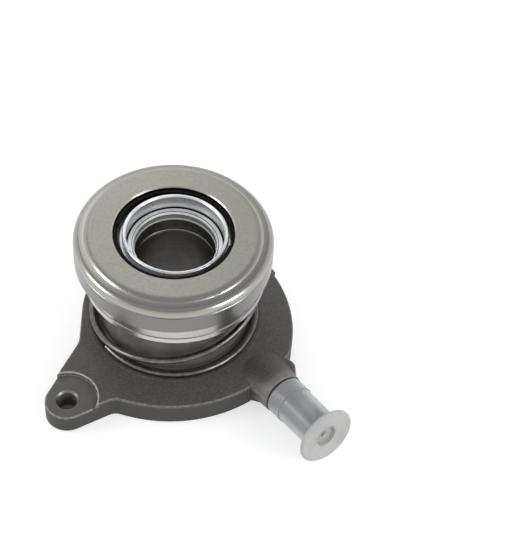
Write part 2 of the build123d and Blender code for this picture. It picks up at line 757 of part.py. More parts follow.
# Spring retainer: a pressed steel cup, open downwards. Its floor is held between the piston and
# the carrier, its bulged wall covers the top of the spring, and its rim ends in a rolled hem.
retainer_hole_r = piston_neck_r + retainer_hole_gap
bulge_high = retainer_floor_top - retainer_bulge_drop
bulge_low = bulge_high - retainer_bulge_height
retainer_neck_z = retainer_floor_top - retainer_neck_drop
retainer_rim_z = retainer_neck_z - retainer_hem - retainer_rim_length
with BuildPart() as spring_retainer:
    with BuildSketch(Plane.XZ) as retainer_section:
        outline_section(
            (retainer_inner_r, retainer_rim_z),
            (retainer_lip_r, retainer_rim_z),
            (retainer_lip_r, retainer_rim_z + retainer_hem),
            (retainer_neck_r, retainer_rim_z + retainer_hem),
            (retainer_neck_r, retainer_neck_z),
            (retainer_bulge_r, bulge_low),
            (retainer_bulge_r, bulge_high),
            (retainer_corner_r, retainer_floor_top),
            (retainer_hole_r, retainer_floor_top),
            (retainer_hole_r, retainer_floor_low - retainer_collar),
            (retainer_hole_r + retainer_sheet, retainer_floor_low - retainer_collar),
            (retainer_hole_r + retainer_sheet, retainer_floor_low),
            (retainer_corner_r - retainer_sheet / 2, retainer_floor_low),
            (retainer_bulge_r - retainer_sheet, bulge_high - retainer_sheet / 2),
            (retainer_bulge_r - retainer_sheet, bulge_low),
            (retainer_inner_r, retainer_neck_z),
        )
        fillet(corner(retainer_section, (retainer_corner_r, retainer_floor_top)), retainer_bend)
        fillet(corner(retainer_section, (retainer_bulge_r, bulge_high)), retainer_bend)
        fillet(corner(retainer_section, (retainer_bulge_r, bulge_low)), retainer_bend)
        fillet(corner(retainer_section, (retainer_neck_r, retainer_neck_z)), retainer_bend)
        fillet(corner(retainer_section, (retainer_lip_r, retainer_rim_z)), hem_fillet)
    revolve(axis=Axis.Z)
spring_retainer.part.label = "spring_retainer"
export_step(spring_retainer.part, "parts/spring_retainer.step")

# Preload spring: round wire that winds up counter-clockwise from the flange to the retainer's
# floor. Its first and last turns lie flat, and small balls of wire size join them to the helix,
# which leaves the flange just early enough to pass over the end of the first turn.
spring_low = spring_seat_z + wire_r
spring_high = retainer_floor_low - wire_r
spring_pitch = (spring_high - spring_low) / spring_active_turns
spring_lower_angle = 360 - 360 * (2 * wire_r + spring_tip_gap) / spring_pitch
helix_start = spring_tip_azimuth + spring_lower_angle
helix_end = helix_start + 360 * spring_active_turns
helix = Helix(
    spring_pitch,
    spring_high - spring_low,
    spring_mean_r,
    center=(0, 0, spring_low),
    mode=Mode.PRIVATE,
).rotate(Axis.Z, helix_start)
with BuildPart() as preload_spring:
    with BuildSketch(Plane(origin=helix @ 0, z_dir=helix % 0)):
        Circle(wire_r)
    sweep(path=helix, is_frenet=True)
    with BuildSketch(Plane.XZ.rotated((0, 0, helix_start))):
        with Locations((spring_mean_r, spring_low)):
            Circle(wire_r)
    revolve(axis=Axis.Z, revolution_arc=-spring_lower_angle)
    with BuildSketch(Plane.XZ.rotated((0, 0, helix_end))):
        with Locations((spring_mean_r, spring_high)):
            Circle(wire_r)
    revolve(axis=Axis.Z, revolution_arc=spring_upper_angle)
    with Locations(helix @ 0, helix @ 1):
        Sphere(wire_r)
preload_spring.part.label = "preload_spring"
export_step(preload_spring.part, "parts/preload_spring.step")

# Inner ring of the release bearing: rests on the carrier's flange and does not turn. It is an
# angular-contact bearing, so the race opens outwards and upwards.
inner_race_low = (
    ball_circle_r + race_r * cos(radians(inner_race_low_angle)),
    ball_z + race_r * sin(radians(inner_race_low_angle)),
)
inner_race_high = (
    ball_circle_r + race_r * cos(radians(inner_race_high_angle)),
    ball_z + race_r * sin(radians(inner_race_high_angle)),
)
with BuildPart() as bearing_inner_ring:
    with BuildSketch(bearing_section):
        outline_section(
            (inner_ring_bore_r, carrier_flange_top + press_gap),
            (inner_ring_flange_r, carrier_flange_top + press_gap),
            (inner_ring_flange_r, inner_race_low[1]),
            inner_race_low,
            inner_race_high,
            (inner_race_high[0], inner_ring_top),
            (inner_ring_bore_r, inner_ring_top),
        )
        with Locations((ball_circle_r, ball_z)):
            Circle(race_r, mode=Mode.SUBTRACT)
    revolve(axis=bearing_axis)
bearing_inner_ring.part.label = "bearing_inner_ring"
export_step(bearing_inner_ring.part, "parts/bearing_inner_ring.step")

# Outer ring of the release bearing: turns with the clutch fingers, which press on its flat front.
# The front is a low disc with a rounded edge on a rounded shoulder. Below the shoulder a thin
# groove runs round the outside. Inside are the race and the seat of the rear seal.
free_edge_z = contact_face_z - outer_free_edge_drop
contact_flat_r = bearing_outer_r - contact_flat_inset
disc_edge = (bearing_outer_r - disc_edge_inset, contact_face_z - disc_edge_drop)
shoulder = (bearing_outer_r - shoulder_inset, contact_face_z - shoulder_drop)
race_wall_r = ball_circle_r + race_r
front_wall_z = ball_z + race_r
round_z = contact_face_z - outer_round_drop
outer_groove_z = contact_face_z - outer_groove_drop
with BuildPart() as bearing_outer_ring:
    with BuildSketch(bearing_section):
        with BuildLine():
            Polyline(
                (bearing_outer_r, round_z),
                (bearing_outer_r, outer_groove_z + outer_groove_size),
                (bearing_outer_r - outer_groove_size, outer_groove_z),
                (bearing_outer_r, outer_groove_z - outer_groove_size),
                (bearing_outer_r, free_edge_z + outer_edge_chamfer),
                (bearing_outer_r - outer_edge_chamfer, free_edge_z),
                (seal_seat_r, free_edge_z),
                (seal_seat_r, free_edge_z + seal_seat_height),
                (race_wall_r, free_edge_z + seal_seat_height),
                (race_wall_r, ball_z),
                (ball_circle_r, front_wall_z),
                (contact_hole_r, front_wall_z),
                (contact_hole_r, contact_face_z - contact_hole_chamfer),
                (contact_hole_r + contact_hole_chamfer, contact_face_z),
                (contact_flat_r, contact_face_z),
            )
            TangentArc((contact_flat_r, contact_face_z), disc_edge, tangent=(1, 0))
            Line(disc_edge, shoulder)
            TangentArc((bearing_outer_r, round_z), shoulder, tangent=(0, 1))
        make_face()
        with Locations((ball_circle_r, ball_z)):
            Circle(race_r, mode=Mode.SUBTRACT)
    revolve(axis=bearing_axis)
bearing_outer_ring.part.label = "bearing_outer_ring"
export_step(bearing_outer_ring.part, "parts/bearing_outer_ring.step")

# The balls between the two rings.
ball_centre = (*bearing_shift, ball_z)
with BuildPart() as bearing_balls:
    with Locations(ball_centre):
        with PolarLocations(ball_circle_r, ball_count):
            Sphere(ball_r)
bearing_balls.part.label = "bearing_balls"
export_step(bearing_balls.part, "parts/bearing_balls.step")

# Ball cage: a plastic ring with a round pocket for each ball.
cage_inner_r = ball_circle_r - cage_inside
cage_outer_r = ball_circle_r + cage_outside
with BuildPart() as ball_cage:
    with BuildSketch(bearing_section):
        ring_section(cage_inner_r, cage_outer_r, ball_z - cage_low, ball_z + cage_high)
    revolve(axis=bearing_axis)
    with Locations(ball_centre):
        with PolarLocations(ball_circle_r, ball_count):
            Cylinder(
                ball_r + cage_pocket_gap,
                2 * (cage_outer_r - cage_inner_r),
                rotation=(0, 90, 0),
                mode=Mode.SUBTRACT,
            )
ball_cage.part.label = "ball_cage"
export_step(ball_cage.part, "parts/ball_cage.step")

# Rear seal: a thin steel disc pressed into the outer ring, running close round the inner ring.
rear_seal_low = free_edge_z + running_gap
rear_seal_outer_r = seal_seat_r - press_gap
with BuildPart() as rear_seal:
    with BuildSketch(bearing_section):
        ring_section(
            inner_ring_flange_r + rear_seal_gap,
            rear_seal_outer_r,
            rear_seal_low,
            rear_seal_low + rear_seal_sheet,
        )
        ring_section(
            rear_seal_outer_r - rear_seal_collar_sheet,
            rear_seal_outer_r,
            rear_seal_low,
            rear_seal_low + rear_seal_collar_height,
        )
    revolve(axis=bearing_axis)
rear_seal.part.label = "rear_seal"
export_step(rear_seal.part, "parts/rear_seal.step")

# Front seal: a black moulded ring that stands on the inner ring and closes the gap to the contact
# face. Its rim has two small notches.
seal_rim_z = contact_face_z - front_seal_drop
seal_wall_r = contact_hole_r - front_seal_gap
with BuildPart() as front_seal:
    with BuildSketch(bearing_section):
        ring_section(
            foot_inner_r,
            foot_outer_r,
            inner_ring_top,
            inner_ring_top + front_seal_foot_height,
        )
        ring_section(
            seal_wall_r - front_seal_wall,
            foot_outer_r,
            inner_ring_top + front_seal_foot_height - front_seal_wall,
            inner_ring_top + front_seal_foot_height,
        )
        ring_section(
            seal_wall_r - front_seal_wall,
            seal_wall_r,
            inner_ring_top + front_seal_foot_height - front_seal_wall,
            seal_rim_z,
        )
        ring_section(front_seal_lip_r, seal_wall_r, seal_rim_z - front_seal_wall, seal_rim_z)
    revolve(axis=bearing_axis)
    with BuildSketch(Plane(origin=(*bearing_shift, seal_rim_z))):
        for azimuth in front_seal_notch_azimuths:
            with PolarLocations(front_seal_lip_r, 1, start_angle=azimuth):
                Rectangle(2 * front_seal_wall, front_seal_notch)
    extrude(amount=-2 * front_seal_wall, mode=Mode.SUBTRACT)
front_seal.part.label = "front_seal"
export_step(front_seal.part, "parts/front_seal.step")
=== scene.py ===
from math import radians

import bpy
from mathutils import Matrix, Vector


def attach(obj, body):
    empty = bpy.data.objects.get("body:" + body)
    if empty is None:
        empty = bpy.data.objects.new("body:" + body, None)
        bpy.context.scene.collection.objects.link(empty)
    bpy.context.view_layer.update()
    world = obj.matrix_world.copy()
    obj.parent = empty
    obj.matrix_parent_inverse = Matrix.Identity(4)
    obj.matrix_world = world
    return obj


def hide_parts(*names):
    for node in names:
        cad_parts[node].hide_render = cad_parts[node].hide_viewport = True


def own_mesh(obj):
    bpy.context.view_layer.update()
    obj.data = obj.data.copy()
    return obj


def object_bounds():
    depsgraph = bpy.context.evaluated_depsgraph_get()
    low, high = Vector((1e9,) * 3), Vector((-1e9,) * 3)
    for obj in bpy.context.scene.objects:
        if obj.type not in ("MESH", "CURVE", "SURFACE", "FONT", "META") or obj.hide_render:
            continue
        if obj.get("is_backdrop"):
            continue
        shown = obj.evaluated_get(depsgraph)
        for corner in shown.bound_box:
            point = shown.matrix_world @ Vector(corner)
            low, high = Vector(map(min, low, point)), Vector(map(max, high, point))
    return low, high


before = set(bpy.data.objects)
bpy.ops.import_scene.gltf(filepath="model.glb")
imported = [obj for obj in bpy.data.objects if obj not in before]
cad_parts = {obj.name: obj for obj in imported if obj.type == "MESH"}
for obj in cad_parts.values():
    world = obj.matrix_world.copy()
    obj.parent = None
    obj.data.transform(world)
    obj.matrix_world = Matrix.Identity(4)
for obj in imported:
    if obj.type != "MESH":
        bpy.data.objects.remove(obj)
cad_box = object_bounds()

# Camera: a long lens, well above the unit and in front of it, rolled a little to the left as the
# photograph was taken. The frame is taller than wide, so the sensor's 36 mm are its height.
MM = 0.001
camera = bpy.data.objects.new("camera", bpy.data.cameras.new("camera"))
camera.data.sensor_width = 36.0
camera.data.lens = 96.6
camera.data.clip_start = 0.01
camera_place = Vector((27.98, -328.65, 422.71)) * MM
camera_pitch = 50.09
camera_roll = 4.58
tilt = Matrix.Rotation(radians(90.0 - camera_pitch), 4, "X")
roll = Matrix.Rotation(radians(camera_roll), 4, "Z")
camera.matrix_world = Matrix.Translation(camera_place) @ tilt @ roll
bpy.context.scene.collection.objects.link(camera)
bpy.context.scene.camera = camera
bpy.context.scene.view_settings.view_transform = "Standard"


# Studio: a white floor that keeps the unit's shadow, a tent that is white near the horizon and
# greyer overhead, and three soft lamps that draw the highlights on the turned metal.
class Signal:
    """An output of a shader node. Arithmetic on signals adds Math nodes to their tree."""

    def __init__(self, tree, socket):
        self.tree = tree
        self.socket = socket

    def __add__(self, other):
        return self.tree.math("ADD", self, other)

    def __sub__(self, other):
        return self.tree.math("SUBTRACT", self, other)

    def __rsub__(self, other):
        return self.tree.math("SUBTRACT", other, self)

    def __mul__(self, other):
        return self.tree.math("MULTIPLY", self, other)

    def __pow__(self, other):
        return self.tree.math("POWER", self, other)

    __radd__ = __add__
    __rmul__ = __mul__

    def step(self, low, high):
        """0 where the signal is at low, 1 where it is at high, and smooth between them."""
        span = {"Value": self, "From Min": low, "From Max": high}
        return self.tree.add("MapRange", {"interpolation_type": "SMOOTHSTEP"}, span)


class Tree:
    """The nodes of one material, or of the world."""

    def __init__(self, owner):
        owner.use_nodes = True
        self.owner = owner
        self.nodes = owner.node_tree.nodes
        self.links = owner.node_tree.links
        self.nodes.clear()

    def add(self, kind, settings=None, sockets=None, output=0):
        """Adds a node, sets it, fills its sockets with values or signals, and gives one output."""
        node = self.nodes.new("ShaderNode" + kind)
        for name, value in (settings or {}).items():
            setattr(node, name, value)
        for name, value in (sockets or {}).items():
            if isinstance(value, Signal):
                self.links.new(value.socket, node.inputs[name])
            else:
                node.inputs[name].default_value = value
        return Signal(self, node.outputs[output]) if node.outputs else None

    def math(self, operation, first, second):
        return self.add("Math", {"operation": operation}, {0: first, 1: second})

    def mix(self, share, first, second):
        """One colour where share is 0 and the other where it is 1."""
        return self.add("Mix", {"data_type": "RGBA"}, {0: share, 6: first, 7: second}, 2)


world = bpy.data.worlds.new("tent")
bpy.context.scene.world = world
tent = Tree(world)
view = tent.add("TexCoord", output="Generated")
height = tent.add("SeparateXYZ", sockets={"Vector": view}, output="Z")
overhead = height.step(0.25, 0.85)
horizon = (1.0, 1.0, 1.0, 1.0)
zenith = (0.42, 0.43, 0.45, 1.0)
tent_colour = tent.mix(overhead, horizon, zenith)
tent_light = tent.add("Background", sockets={"Color": tent_colour, "Strength": 1.0})
tent.add("OutputWorld", sockets={"Surface": tent_light})

floor_mesh = bpy.data.meshes.new("floor")
floor_half = 3.0
floor_z = -0.05 * MM
floor_corners = [
    (-floor_half, -floor_half, floor_z),
    (floor_half, -floor_half, floor_z),
    (floor_half, floor_half, floor_z),
    (-floor_half, floor_half, floor_z),
]
floor_mesh.from_pydata(floor_corners, [], [(0, 1, 2, 3)])
floor = bpy.data.objects.new("floor", floor_mesh)
bpy.context.scene.collection.objects.link(floor)
paper = Tree(bpy.data.materials.new("floor_paper"))
ray_kinds = ("Is Camera Ray", "Is Glossy Ray", "Is Transmission Ray")
seen = sum(paper.add("LightPath", output=kind) for kind in ray_kinds)
spot = paper.add("TexCoord", output="Object")
# Hardly any light gets through the hole of the ear, so the floor under it doesn't glow.
ear_hole = (-32.1, -40.9)
under_ear = {0: spot, 1: (ear_hole[0] * MM, ear_hole[1] * MM, 0.0)}
TO_MM = 1000
from_ear = paper.add("VectorMath", {"operation": "DISTANCE"}, under_ear, "Value") * TO_MM
open_floor = from_ear.step(5.5, 7.5)
unlit = (0.0, 0.0, 0.0, 1.0)
lit = (1.0, 1.0, 1.0, 1.0)
glow = paper.mix(seen.step(0.0, 1.0) * open_floor, unlit, lit)
paper_shader = paper.add(
    "BsdfPrincipled",
    sockets={
        "Base Color": (0.58, 0.58, 0.58, 1.0),
        "Roughness": 0.9,
        "Specular IOR Level": 0.0,
        "Emission Color": glow,
        "Emission Strength": 0.6,
    },
)
paper.add("OutputMaterial", sockets={"Surface": paper_shader})
floor_mesh.materials.append(paper.owner)
floor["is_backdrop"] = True


def softbox(name, place, size, watts):
    """A square area lamp at a place in millimetres, turned towards the middle of the unit."""
    middle = (0.0, 0.0, 25.0)
    lamp = bpy.data.lights.new(name, "AREA")
    lamp.size = size * MM
    lamp.energy = watts
    box = bpy.data.objects.new(name, lamp)
    box.location = Vector(place) * MM
    box.rotation_euler = (Vector(place) - Vector(middle)).to_track_quat("Z", "Y").to_euler()
    bpy.context.scene.collection.objects.link(box)


softbox("lamp_back", (-150, 420, 520), 380, 0.45)
softbox("lamp_left", (-520, -120, 330), 220, 0.95)
softbox("lamp_right", (480, -260, 300), 260, 1.12)


# Housing: an aluminium casting, blasted to a dark even grain. The mounting land and the cylinder
# wall are turned and the pad of the ear is a little barer. Edges are rubbed lighter and painted with
# highlights, the end of the port boss has a painted highlight, and the sides and the seat of the
# spring are darkened with painted shade.
def colour(red, green, blue):
    """A colour given as the screen shows it, from 0 to 255, as the shader's linear values."""
    return tuple((part / 255) ** 2.2 for part in (red, green, blue)) + (1.0,)


def places(tree, centre=(0.0, 0.0)):
    """Radius from an upright axis and height, in millimetres."""
    point = tree.add("TexCoord", output="Object")
    x = tree.add("SeparateXYZ", sockets={"Vector": point}, output="X") * TO_MM - centre[0]
    y = tree.add("SeparateXYZ", sockets={"Vector": point}, output="Y") * TO_MM - centre[1]
    z = tree.add("SeparateXYZ", sockets={"Vector": point}, output="Z") * TO_MM
    return (x * x + y * y) ** 0.5, z


def grain(tree, size, detail=3.0):
    """Uneven spots of about this size in millimetres, from 0 to 1."""
    point = tree.add("TexCoord", output="Object")
    spots = {"Vector": point, "Scale": TO_MM / size, "Detail": detail, "Roughness": 0.6}
    return tree.add("TexNoise", sockets=spots)


def turned(tree, along, pitch):
    """Fine lines left by a lathe tool, that follow each other along this signal."""
    lines = {"W": along, "Scale": 1 / pitch, "Detail": 4.0, "Roughness": 0.7}
    return tree.add("TexNoise", {"noise_dimensions": "1D"}, lines)


def rubbed(tree, width):
    """1 on sharp edges, within this width in millimetres, and 0 on open faces."""
    rounded = tree.add("Bevel", {"samples": 6}, {"Radius": width * MM})
    straight = tree.add("NewGeometry", output="Normal")
    both = {0: rounded, 1: straight}
    facing = tree.add("VectorMath", {"operation": "DOT_PRODUCT"}, both, "Value")
    return (1 - facing).step(0.01, 0.22)


def bumps(tree, height):
    """The normal of a surface with this height, in millimetres."""
    return tree.add("Bump", {}, {"Strength": 1.0, "Distance": MM, "Height": height})


def dress(tree, shader, *names):
    """Ends the material in the shader and gives it to these pieces of the unit."""
    tree.add("OutputMaterial", sockets={"Surface": shader})
    for name in names:
        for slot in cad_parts[name].material_slots:
            slot.material = tree.owner


# The end of the port boss and the way that the port points.
port_end = Vector((40.2, -31.3, 7.9)) * MM
port_direction = Vector((0.6312, -0.7630, 0.1392))


def from_port(tree):
    """The vector from the end of the port boss, in metres."""
    point = tree.add("TexCoord", output="Object")
    both = {0: point, 1: tuple(port_end)}
    return tree.add("VectorMath", {"operation": "SUBTRACT"}, both)


def along_port(tree):
    """How far out of the port boss a place is, in millimetres."""
    both = {0: from_port(tree), 1: tuple(port_direction)}
    return tree.add("VectorMath", {"operation": "DOT_PRODUCT"}, both, "Value") * TO_MM


cast = Tree(bpy.data.materials.new("cast_housing"))
radius, height = places(cast)
ear_radius = places(cast, ear_hole)[0]
flange_top = 9.6
land_radius = 29.9
disc_bore = 25.8
cylinder_bore = 21.5
cylinder_root = 25.5
pad_top = 8.1
pad_radius = 10.0
hole_radius = 3.3

# Machined places: the land at the back, the bore in it, the cylinder wall and the hole of the ear.
land = radius.step(land_radius + 0.05, land_radius - 0.05) * height.step(0.3, 0.1)
bore = radius.step(disc_bore + 0.1, disc_bore)
wall = radius.step(cylinder_root + 2.4, cylinder_root + 0.7)
wall = wall * radius.step(cylinder_bore - 0.5, cylinder_bore + 0.1)
wall = wall * height.step(flange_top - 0.4, flange_top + 0.1)
hole_rim = ear_radius.step(hole_radius + 0.8, hole_radius + 0.6)
hole_rim = hole_rim * height.step(pad_top - 0.9, pad_top - 0.6)
hole_wall = ear_radius.step(hole_radius + 0.3, hole_radius + 0.15) * (1 - hole_rim)

# Other places: the pad round the hole, painted highlights on the two lines of the step behind it and
# on the rims of the pad and the flange, painted shade on the sides, a painted shadow in the seat of
# the spring and a painted highlight on the end of the port boss.
pad = ear_radius.step(pad_radius + 0.4, pad_radius)
pad = pad * height.step(pad_top - 0.5, pad_top - 0.3) * height.step(pad_top + 0.1, pad_top)
# Painted highlights on the foot and the top of the step round the pad.
step_foot = height.step(pad_top, pad_top + 0.07) * height.step(pad_top + 0.5, pad_top + 0.3)
step_top = height.step(flange_top - 0.35, flange_top - 0.2)
step_top = step_top * height.step(flange_top, flange_top - 0.05)
painted_step_highlights = ear_radius.step(pad_radius, pad_radius + 0.1)
painted_step_highlights = painted_step_highlights * ear_radius.step(pad_radius + 1.2, pad_radius + 1.0)
painted_step_highlights = painted_step_highlights * (step_foot + step_top)
# Painted highlight on the rim of the pad.
painted_pad_rim_highlight = ear_radius.step(pad_radius - 0.4, pad_radius - 0.8)
painted_pad_rim_highlight = painted_pad_rim_highlight * height.step(pad_top - 0.75, pad_top - 0.55)
painted_pad_rim_highlight = painted_pad_rim_highlight * height.step(pad_top - 0.01, pad_top - 0.07)
# Painted highlight on the rim of the flange.
painted_flange_rim_highlight = height.step(flange_top - 0.7, flange_top - 0.5) * radius.step(30.0, 31.0)
painted_flange_rim_highlight = painted_flange_rim_highlight * height.step(flange_top - 0.01, flange_top - 0.1)
# Painted shade darkens the sides below the flange's top, away from the land.
painted_side_shade = height.step(flange_top - 0.8, flange_top - 1.4) * (1 - land)
# A painted shadow darkens the seat of the spring next to the cylinder wall.
painted_seat_shadow = radius.step(cylinder_root - 0.1, cylinder_root + 0.4) * radius.step(29.8, 29.0)
painted_seat_shadow = painted_seat_shadow * height.step(flange_top - 0.1, flange_top - 0.2)
# A painted highlight lightens the end of the port boss.
painted_boss_highlight = along_port(cast).step(-7.0, -0.5)

fine = grain(cast, 0.45)
coarse = grain(cast, 5.0, 2.0)
skin = cast.mix(fine.step(0.3, 0.75), colour(78, 77, 75), colour(110, 108, 105))
skin = cast.mix(coarse.step(0.35, 0.7) * 0.35, skin, colour(84, 82, 80))
lines = turned(cast, radius, 0.25)
brown = cast.mix(lines.step(0.3, 0.7), colour(112, 104, 94), colour(150, 141, 129))
# Painted shade on the sides.
skin = cast.mix(painted_side_shade * 0.9, skin, colour(64, 63, 61))
wall_lines = turned(cast, height, 0.3)
wall_skin = cast.mix(wall_lines.step(0.3, 0.7), colour(104, 103, 100), colour(136, 134, 130))
wall_skin = cast.mix(coarse.step(0.35, 0.65) * 0.4, wall_skin, colour(82, 80, 77))
skin = cast.mix(wall, skin, wall_skin)
# Painted shadow in the seat of the spring.
skin = cast.mix(painted_seat_shadow * (1 - wall), skin, colour(40, 39, 37))
skin = cast.mix(land, skin, brown)
skin = cast.mix(bore * (1 - wall), skin, colour(118, 115, 110))
skin = cast.mix(pad * (0.1 + 0.4 * coarse + 0.4 * fine), skin, colour(118, 116, 111))
# Painted highlight on the end of the port boss.
skin = cast.mix(painted_boss_highlight * (0.3 + 0.4 * fine), skin, colour(154, 152, 148))
# Edges are rubbed lighter, and the same lightening paints highlights on them.
rubbed_and_highlit_edges = rubbed(cast, 0.5) * grain(cast, 1.5).step(0.2, 0.7)
skin = cast.mix(rubbed_and_highlit_edges * 0.7, skin, colour(172, 170, 166))
# Painted highlights on the rim of the flange and on the step and rim of the pad, broken into
# patches.
highlight_patches = grain(cast, 1.1, 4.0).step(0.3, 0.6)
skin = cast.mix(painted_flange_rim_highlight * highlight_patches * 0.45, skin, colour(150, 148, 144))
painted_pad_highlights = (painted_step_highlights + painted_pad_rim_highlight * 0.5) * (0.25 + 0.6 * highlight_patches)
skin = cast.mix(painted_pad_highlights, skin, colour(190, 188, 183))
skin = cast.mix(hole_wall, skin, colour(112, 109, 103))
skin = cast.mix(hole_rim, skin, colour(128, 126, 121))
relief = fine * 0.05 * (1 - land) * (1 - wall) + lines * land * 0.01 + wall_lines * wall * 0.01
cast_shader = cast.add(
    "BsdfPrincipled",
    sockets={
        "Base Color": skin,
        "Metallic": 0.3 + 0.4 * land + 0.6 * hole_rim,
        "Roughness": 0.5 - 0.1 * wall - 0.15 * land - 0.2 * hole_rim + 0.1 * fine,
        "Normal": bumps(cast, relief),
    },
)
dress(cast, cast_shader, "housing")

# Guide tube: drawn steel, bright outside, dull in its bore and browned on the disc at its back. The
# stop ring on its front end is bare and bright, and so are the retaining ring and the disc spring.
tube = Tree(bpy.data.materials.new("guide_tube_steel"))
radius, height = places(tube)
# The bore, its rounded mouth, the wider length behind that with the step at its end, and a bright
# mark that a tool left further in.
tube_bore = 13.6
wide_bore = 13.8
step_low = 41.9
step_high = 42.5
mouth_low = 44.5
mark_low = 36.5
disc_top = 3.0
inside = radius.step(tube_bore + 0.6, tube_bore + 0.4) * height.step(step_low + 0.1, step_low)
mouth = radius.step(wide_bore + 0.5, wide_bore + 0.4) * height.step(mouth_low - 0.1, mouth_low)
front_wall = radius.step(wide_bore + 0.1, wide_bore + 0.05)
front_bore = front_wall * height.step(step_high, step_high + 0.1)
front_bore = front_bore * height.step(mouth_low, mouth_low - 0.1)
front_step = front_wall * height.step(step_low, step_low + 0.1)
front_step = front_step * height.step(step_high + 0.15, step_high + 0.05)
tool_mark = height.step(mark_low, mark_low + 0.1) * height.step(mark_low + 0.65, mark_low + 0.55)
tool_mark = tool_mark * inside
disc = height.step(disc_top + 0.5, disc_top + 0.2)
lines = turned(tube, height + radius, 0.35)
stain = grain(tube, 6.0, 4.0)
bright = tube.mix(lines.step(0.3, 0.7), colour(176, 175, 172), colour(216, 215, 212))
dull = tube.mix(stain.step(0.3, 0.7), colour(72, 71, 69), colour(96, 95, 92))
dull = tube.mix(lines.step(0.3, 0.7) * 0.4, dull, colour(146, 144, 140))
browned = tube.mix(lines.step(0.3, 0.7), colour(110, 102, 92), colour(148, 138, 126))
tube_skin = tube.mix(inside, bright, dull)
tube_skin = tube.mix(disc * (1 - inside), tube_skin, browned)
tube_skin = tube.mix(rubbed(tube, 0.3) * 0.7, tube_skin, colour(205, 202, 196))
tube_skin = tube.mix(front_bore * 0.8, tube_skin, colour(150, 149, 147))
tube_skin = tube.mix(mouth + front_step, tube_skin, colour(250, 250, 250))
tube_skin = tube.mix(tool_mark, tube_skin, colour(240, 239, 236))
tube_shader = tube.add(
    "BsdfPrincipled",
    sockets={
        "Base Color": tube_skin,
        "Metallic": 1.0 - 0.5 * (mouth + front_bore + front_step),
        "Roughness": 0.24 + 0.14 * inside + 0.12 * disc + 0.08 * stain,
        "Normal": bumps(tube, lines * 0.003),
    },
)
dress(tube, tube_shader, "guide_tube")

ring = Tree(bpy.data.materials.new("ring_steel"))
radius, height = places(ring)
lines = turned(ring, radius + height, 0.3)
ring_skin = ring.mix(lines.step(0.3, 0.7), colour(212, 213, 213), colour(238, 239, 239))
ring_skin = ring.mix(rubbed(ring, 0.25) * 0.6, ring_skin, colour(240, 240, 240))
# A dark seam shows between the ring and the end of the tube.
ring_top = 45.1
seam = radius.step(14.65, 14.55) * height.step(ring_top - 0.1, ring_top - 0.05)
ring_skin = ring.mix(seam, ring_skin, colour(40, 40, 39))
ring_shader = ring.add(
    "BsdfPrincipled",
    sockets={
        "Base Color": ring_skin,
        "Metallic": 0.6,
        "Roughness": 0.26 + 0.1 * lines,
        "Anisotropic": 0.4,
        "Normal": bumps(ring, lines * 0.004),
    },
)
dress(ring, ring_shader, "stop_ring", "retaining_ring", "disc_spring")

# Rubber parts: the wiper in the mouth of the cylinder, the seal of the piston, the ring in the rim
# of the tube's disc and the ring at the port. Black moulded rubber, a little dusty.
rubber = Tree(bpy.data.materials.new("seal_rubber"))
dust = grain(rubber, 0.8, 4.0)
rubber_skin = rubber.mix(dust.step(0.45, 0.8), colour(16, 16, 15), colour(36, 35, 34))
rubber_shader = rubber.add(
    "BsdfPrincipled",
    sockets={
        "Base Color": rubber_skin,
        "Roughness": 0.42 + 0.25 * dust,
        "Normal": bumps(rubber, dust * 0.02),
    },
)
dress(rubber, rubber_shader, "dust_wiper", "piston_seal", "guide_tube_seal", "port_ring")

# Port: a turned steel spigot, under a transport cap moulded in milky polyethylene that lets the
# spigot show through as a bluish shade.
spigot = Tree(bpy.data.materials.new("spigot_steel"))
spots = grain(spigot, 1.2)
spigot_skin = spigot.mix(spots.step(0.3, 0.7), colour(92, 104, 114), colour(130, 141, 150))
spigot_shader = spigot.add(
    "BsdfPrincipled",
    sockets={"Base Color": spigot_skin, "Metallic": 1.0, "Roughness": 0.25 + 0.15 * spots},
)
dress(spigot, spigot_shader, "port_spigot")

cap = Tree(bpy.data.materials.new("cap_plastic"))
clouds = grain(cap, 7.0, 2.0)
cap_skin = cap.mix(clouds.step(0.3, 0.7), colour(208, 211, 212), colour(224, 226, 226))
# The disc at the end is thick and milky, the body clearer, and the recess in the disc is greyer.
along = along_port(cap)
both = {0: from_port(cap), 1: tuple(port_direction)}
sideways = cap.add("VectorMath", {"operation": "CROSS_PRODUCT"}, both)
across = cap.add("VectorMath", {"operation": "LENGTH"}, {0: sideways}, "Value") * TO_MM
recess_back = 19.6
recess_radius = 3.9
disc_back = 22.4
recess = along.step(recess_back, recess_back + 0.6)
recess = recess * across.step(recess_radius + 1.3, recess_radius + 0.3)
milky = along.step(disc_back - 0.4, disc_back + 0.2) + recess
disc_skin = cap.mix(clouds.step(0.3, 0.7), colour(196, 196, 194), colour(208, 208, 206))
disc_skin = cap.mix(recess, disc_skin, colour(192, 192, 190))
softness = bumps(cap, grain(cap, 1.5) * 0.006)
cap_body = cap.add(
    "BsdfPrincipled",
    sockets={
        "Base Color": cap_skin,
        "Roughness": 0.26 + 0.1 * clouds,
        "IOR": 1.15,
        "Transmission Weight": 0.7,
        "Coat Weight": 0.5,
        "Coat Roughness": 0.3,
        "Normal": softness,
    },
)
cap_disc = cap.add(
    "BsdfPrincipled",
    sockets={
        "Base Color": disc_skin,
        "Roughness": 0.36 + 0.1 * clouds,
        "IOR": 1.3,
        "Transmission Weight": 0.2,
        "Normal": softness,
    },
)
cap_shader = cap.add("MixShader", sockets={0: milky, 1: cap_body, 2: cap_disc})
dress(cap, cap_shader, "transport_cap")

